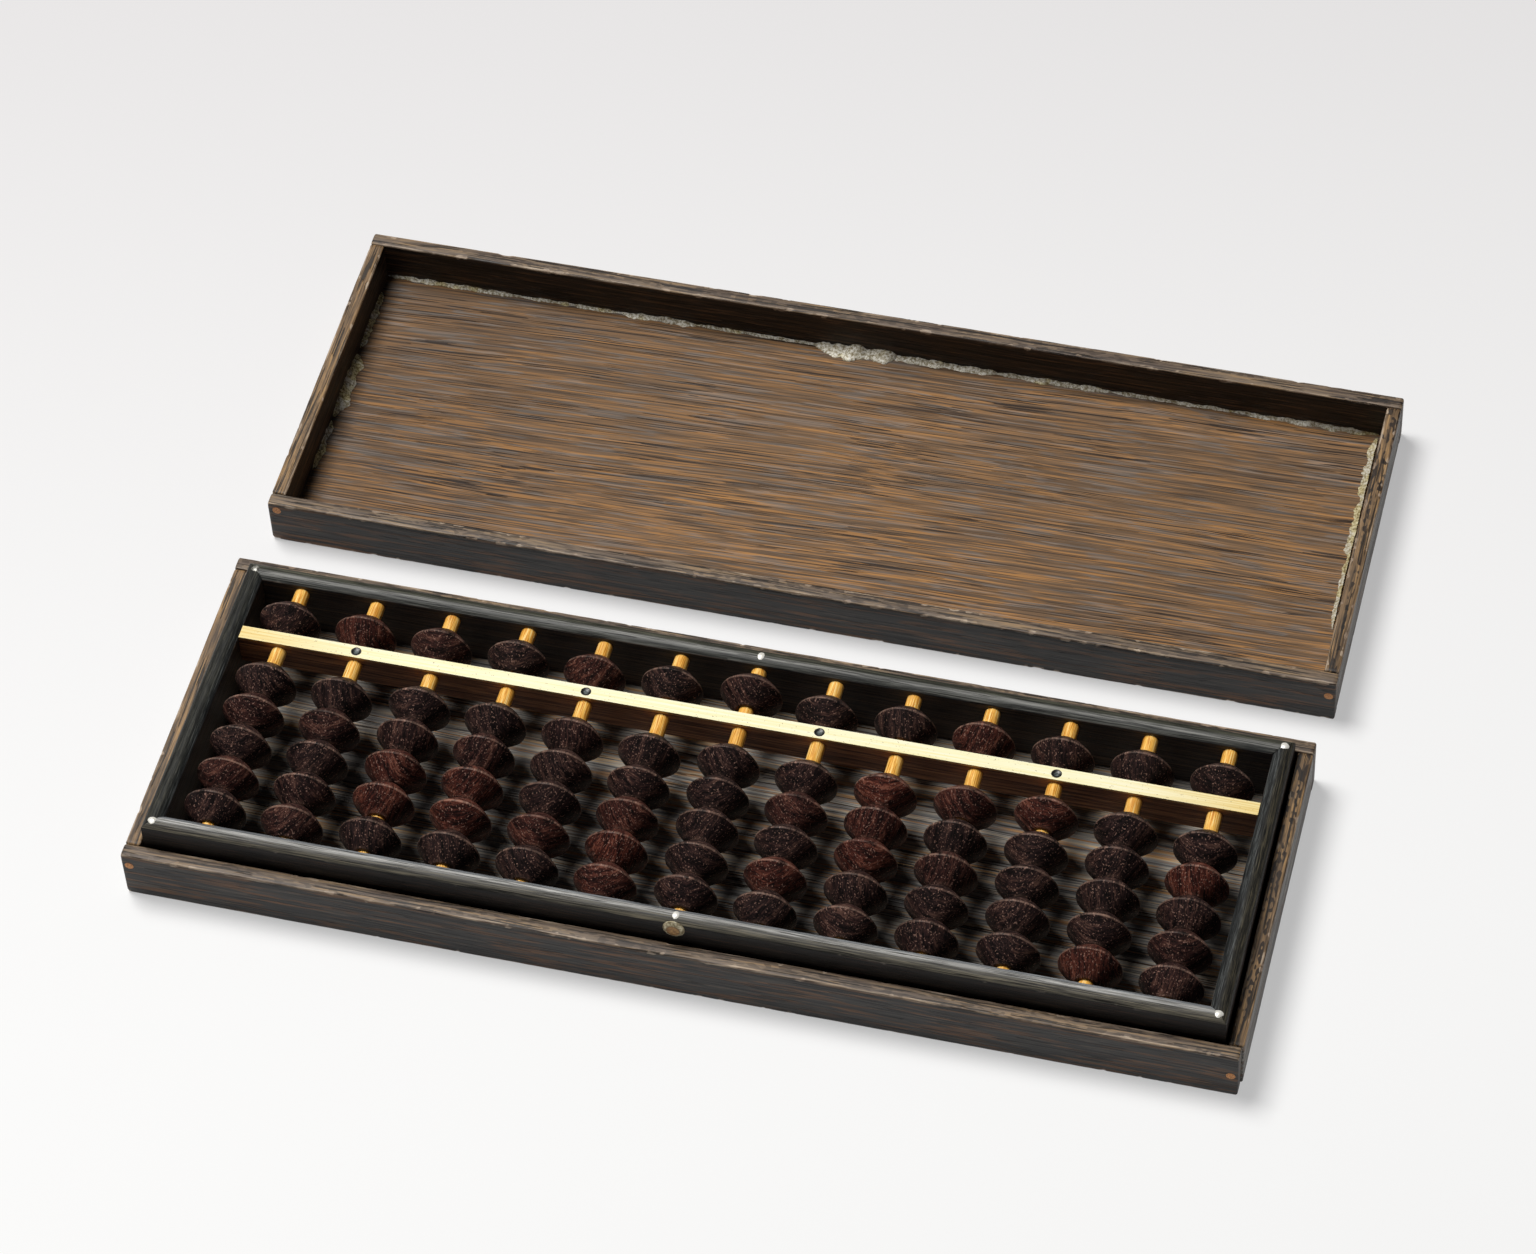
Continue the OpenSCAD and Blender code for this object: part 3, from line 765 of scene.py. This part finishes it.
def marker_dishes(material):
    """The unit markers, each a shallow dish in its hole."""
    mesh = frame["nodes"]["unit_markers"].data
    top = box_mm("unit_markers")[1].z
    # Points less than this apart along X belong to one marker
    apart = 5
    spans = []
    for x in sorted(v.co.x / MM for v in mesh.vertices):
        if not spans or x > spans[-1][1] + apart:
            spans.append([x, x])
        spans[-1][1] = max(spans[-1][1], x)
    top_y = sum(v.co.y for v in mesh.vertices) / len(mesh.vertices) / MM
    segments = 32
    # The rings of a dish, from its foot to its middle: (size, height over the strip)
    full = 0.95
    rings = [
        (full, -0.85), (full, -0.06), (0.85, -0.02), (0.74, -0.05), (0.6, -0.14), (0.4, -0.2), (0.2, -0.22),
    ]
    points, faces, centre_marks = [], [], []
    lean = math.atan2(-rod_direction().z, rod_direction().y)
    for start, end in spans:
        radius = (end - start) / 2
        middle = Vector(((start + end) / 2, top_y, top - math.sin(lean) * radius))
        first = len(points)
        for share, depth in rings:
            for k in range(segments):
                angle = 2 * math.pi * k / segments
                x = share * radius / full * math.cos(angle)
                y = share * radius / full * math.sin(angle)
                points.append(middle + Vector((x, y * math.cos(lean), depth - y * math.sin(lean))))
                centre_marks.append(float(1 - share))
        faces += tube_faces(len(rings), segments, first)
        faces.append(tuple(range(len(points) - segments, len(points))))
        faces.append(tuple(reversed(range(first, first + segments))))
    make_piece(
        "unit_marker_dishes", points, faces, material, "abacus", ("unit_markers",), 50,
        {"centre": centre_marks},
    )


def glue_section(wide, tall):
    """The outline of a line of glue: (distance from the rail, height over the board)."""
    return [
        (-0.05, -0.08), (-0.05, tall), (0.25 * wide, 0.75 * tall), (0.55 * wide, 0.42 * tall),
        (0.82 * wide, 0.2 * tall), (wide, 0.03), (wide, -0.08),
    ]


def residue(name, start, end, inward, width, height, seed, material):
    """A line of old glue in the cover's inner corner, from start to end, both on the board's surface."""
    start, end, inward = Vector(start), Vector(end), Vector(inward)
    run = (end - start).length
    glue_step = 0.45
    count = max(6, round(run / glue_step))
    size = len(glue_section(width, height))
    points = []
    for k in range(count + 1):
        share = k / count
        t = run * share
        fade = min(1, 6 * share, 6 * (1 - share)) ** 0.5 if 0 < share < 1 else 0.02
        spread = 0.9 + 0.6 * ripple(t / 3, 0, 0, seed) + 0.3 * ripple(t / 0.9, 4, 0, seed)
        rise = 0.8 + 0.6 * ripple(t / 2.3, 8, 0, seed) + 0.3 * ripple(t / 0.8, 9, 0, seed)
        wide = width * fade * clamp(spread, 0.3, 1.6)
        tall = height * fade * clamp(rise, 0.25, 1.6)
        spot = start.lerp(end, share)
        for i, (out, up) in enumerate(glue_section(wide, tall)):
            rough = 0.12 * ripple(t / 0.7, i, up, seed + 3) if 0 < i < size - 1 else 0
            points.append(spot + inward * (out + rough) + Vector((0, 0, up + abs(rough) * 0.6)))
    faces = bar_faces(count + 1, size, (end - start).cross(inward).z > 0)
    make_piece(name, points, faces, material, "cover", sharp=60)


# The scene
def paint(nodes, material):
    """Gives the solids of some nodes a finish."""
    for name in nodes:
        slots = frame["nodes"][name].data.materials
        slots.clear()
        slots.append(material)


def dress_case():
    """Worn rails, boards and pegs for the tray and the cover."""
    tans = [(0.4, "#42362d"), (0.47, "#615144"), (0.53, "#766552"), (0.6, "#927757")]
    ambers = [(0.4, "#493827"), (0.47, "#6d563c"), (0.53, "#836747"), (0.6, "#a58255")]
    sooty = [(0.38, "#171616"), (0.47, "#292726"), (0.55, "#393633"), (0.64, "#5b5147")]
    # Painted reflection: the pale greys of the rails along Y stand in for the white table's sheen on their
    # outer sides
    pale_sheen_greys = [(0.38, "#45433f"), (0.47, "#6c6964"), (0.55, "#86827b"), (0.64, "#a39e95")]
    along_x = case_rail_finish("case_rail_along_x", 0, sooty, tans, 0.5, (3, 1, 5))
    along_y = case_rail_finish("case_rail_along_y", 90, pale_sheen_greys, ambers, 0.95, (9, 4, 2))
    # How far the joint at the tray's front right corner stands open
    open_joint = 0.5
    seed = 1
    for case, board in (("tray", "tray_floor"), ("cover", "cover_board")):
        for place in ("front", "back", "left", "right"):
            material = along_x if place in ("front", "back") else along_y
            cut = open_joint if (case, place) == ("tray", "front") else 0.0
            case_rail(f"{case}_{place}_rail", board, case, material, seed, cut)
            seed += 1
    browns = [
        (0.36, "#453427"), (0.45, "#5f4933"), (0.51, "#70563d"), (0.57, "#846342"), (0.64, "#ac7b45"),
    ]
    greys = [
        (0.38, "#413f3e"), (0.45, "#767371"), (0.51, "#99958e"), (0.57, "#aca08c"), (0.64, "#cfa673"),
    ]
    paint(["tray_floor"], board_finish("tray_floor_wood", 1, (31, 7, 0), greys, 0.6, 0.598))
    paint(["cover_board"], board_finish("cover_board_wood", -1.5, (0, 0, 0), browns, 0.38, 0.608))
    paint(["tray_pegs", "cover_pegs"], peg_finish())


def dress_abacus():
    """The frame, the crossbar with its strip and markers, the pins, the stud, the rods and the beads."""
    # The front rail's silvery inner colours are wear, made brighter by painted sheen
    silvery_wear_and_sheen = [(0.4, "#47484b"), (0.5, "#74777a"), (0.6, "#a5a8a9")]
    greyish = [(0.4, "#242525"), (0.5, "#434441"), (0.6, "#6b6b66")]
    slate = [(0.4, "#111212"), (0.5, "#232525"), (0.6, "#585b5a")]
    olive = [(0.4, "#252421"), (0.5, "#4a4740"), (0.62, "#77705f")]
    moss = [(0.4, "#1f201b"), (0.5, "#3a3b33"), (0.62, "#5f5e51")]
    soot = [(0.4, "#141413"), (0.5, "#2c2a25"), (0.62, "#57503f")]
    pitch = [(0.4, "#10100f"), (0.5, "#20211e"), (0.62, "#46443a")]
    finishes = {
        "front": ebony_finish("ebony_of_the_front", 0, (2, 3, 1), olive, silvery_wear_and_sheen, highlight_strength=0.8),
        "back": ebony_finish("ebony_of_the_back", 0, (9, 5, 2), moss, greyish, highlight_strength=0.2),
        "left": ebony_finish("ebony_of_the_left", 90, (6, 1, 4), pitch, slate, 0.92),
        "right": ebony_finish("ebony_of_the_right", 90, (3, 8, 4), soot, slate, 0.68),
    }
    first_seed = 60
    for number, (place, material) in enumerate(finishes.items()):
        frame_rail(f"frame_{place}_rail", material, first_seed + number)
    paint(["crossbar"], bar_finish())
    paint(["crossbar_strip"], strip_finish())
    paint(["frame_pins"], silver_finish())
    paint(["front_stud"], brass_finish())
    bamboo = bamboo_finish()
    rosewood = bead_finish()
    marker_dishes(marker_finish())
    along = rod_direction()
    lower_seed = 100
    for rod in range(1, ROD_COUNT + 1):
        number = f"{rod:02d}"
        paint(["rod_" + number], bamboo)
        beads("upper_bead_" + number, along, rosewood, rod)
        beads("lower_beads_" + number, along, rosewood, lower_seed + rod)


def add_glue():
    """Residue round the inside of the cover. A line is (from, to, width, height), along X or Y."""
    material = glue_finish()
    top = box_mm("cover_board")[1].z
    left = box_mm("cover_left_rail")[1].x
    back = box_mm("cover_back_rail")[0].y
    # A strip this wide stays clean beside the right rail
    strip_width = 1.3
    right = box_mm("cover_right_rail")[0].x - strip_width
    along_back = [
        (-118, -84, 0.9, 0.8), (-85, -60, 0.7, 0.6), (-61, -42, 1.2, 0.9), (-43, -12, 0.6, 0.6),
        (-14, 6, 3.0, 2.0), (4, 30, 1.3, 1.0), (29, 57, 1.0, 0.9), (56, 86, 0.7, 0.7), (85, 119, 1.0, 0.9),
    ]
    along_left = [(136, 118, 1.2, 1.2), (116, 96, 2.4, 1.9), (95, 80, 1.2, 1.2)]
    along_right = [(140.6, 120, 1.6, 1.0), (122, 103, 1.4, 0.9), (105, 83, 1.0, 0.8)]
    edges = [
        ("back", 0, (0, -1, 0), lambda x: (x, back, top), along_back),
        ("left", 20, (1, 0, 0), lambda y: (left, y, top), along_left),
        ("right", 40, (-1, 0, 0), lambda y: (right, y, top), along_right),
    ]
    for edge, first_seed, inward, spot, lines in edges:
        for number, (start, end, width, height) in enumerate(lines):
            name = f"cover_glue_{edge}_{number + 1}"
            seed = first_seed + number
            residue(name, spot(start), spot(end), inward, width, height, seed, material)


def add_floor():
    """A plain pale table, a little darker towards the far left.

    What the camera, gloss and glass see of it is half its own light, so that it stays pale.
    """
    half = 3.0
    corners = [(-half, -half, 0), (half, -half, 0), (half, half, 0), (-half, half, 0)]
    mesh = bpy.data.meshes.new("floor")
    mesh.from_pydata(corners, [], [(0, 1, 2, 3)])
    floor = bpy.data.objects.new("floor", mesh)
    bpy.context.scene.collection.objects.link(floor)
    f = Finish("pale_paper")
    x, y, _ = f.parts(f.place())
    # Painted shade: the table darkens a little towards the far left, where less light falls
    far_left = f.step(f.math("SUBTRACT", y, f.scaled(x, 0.3)), -100, 420)
    colour = f.mix(far_left, "#f8f8f8", "#dbd9da")
    paper = f.node("BsdfPrincipled", {"Base Color": colour, "Roughness": 0.9, "Specular IOR Level": 0.1})
    glow = f.node("Emission", {"Color": colour, "Strength": 1.0})
    path = f.tree.nodes.new("ShaderNodeLightPath")
    seen = f.math("MAXIMUM", path.outputs["Is Camera Ray"], path.outputs["Is Glossy Ray"])
    seen = f.math("MAXIMUM", seen, path.outputs["Is Transmission Ray"])
    f.finish(f.node("MixShader", {0: f.scaled(seen, 0.5), 1: paper, 2: glow}))
    mesh.materials.append(f.material)


def add_lamp(name, place, target, size, watts, colour):
    """A rectangular lamp that faces its target. Its places and its size are in metres."""
    data = bpy.data.lights.new(name, "AREA")
    data.shape = "RECTANGLE"
    data.size, data.size_y = size
    data.energy = watts
    data.color = linear(colour)[:3]
    lamp = bpy.data.objects.new(name, data)
    bpy.context.scene.collection.objects.link(lamp)
    lamp.location = place
    lamp.rotation_mode = "QUATERNION"
    lamp.rotation_quaternion = (Vector(target) - Vector(place)).to_track_quat("-Z", "Y")


def add_light():
    """One large soft lamp, high at the back left, and a faint even light from all round."""
    add_lamp("soft_box", (-0.8, 0.43, 2.02), (0, 0.06, 0), (0.95, 0.95), 57, "#fffefc")
    world = bpy.data.worlds.new("studio")
    world.use_nodes = True
    background = world.node_tree.nodes["Background"]
    background.inputs["Color"].default_value = linear("#f4f7ff")
    background.inputs["Strength"].default_value = 0.035
    bpy.context.scene.world = world


def add_camera():
    """The photograph's view: place in metres, turns in degrees, lens for a sensor 36 mm wide."""
    data = bpy.data.cameras.new("photo_view")
    data.sensor_width = 36
    data.lens = 129.85
    data.clip_start, data.clip_end = 0.05, 20
    camera = bpy.data.objects.new("photo_view", data)
    bpy.context.scene.collection.objects.link(camera)
    camera.location = (0.22084, -0.68895, 0.96529)
    camera.rotation_euler = [math.radians(turn) for turn in (38.9184, 2.1855, 14.0741)]
    bpy.context.scene.camera = camera


add_camera()
dress_case()
dress_abacus()
add_glue()
add_floor()
add_light()
bpy.context.scene.view_settings.view_transform = "Standard"
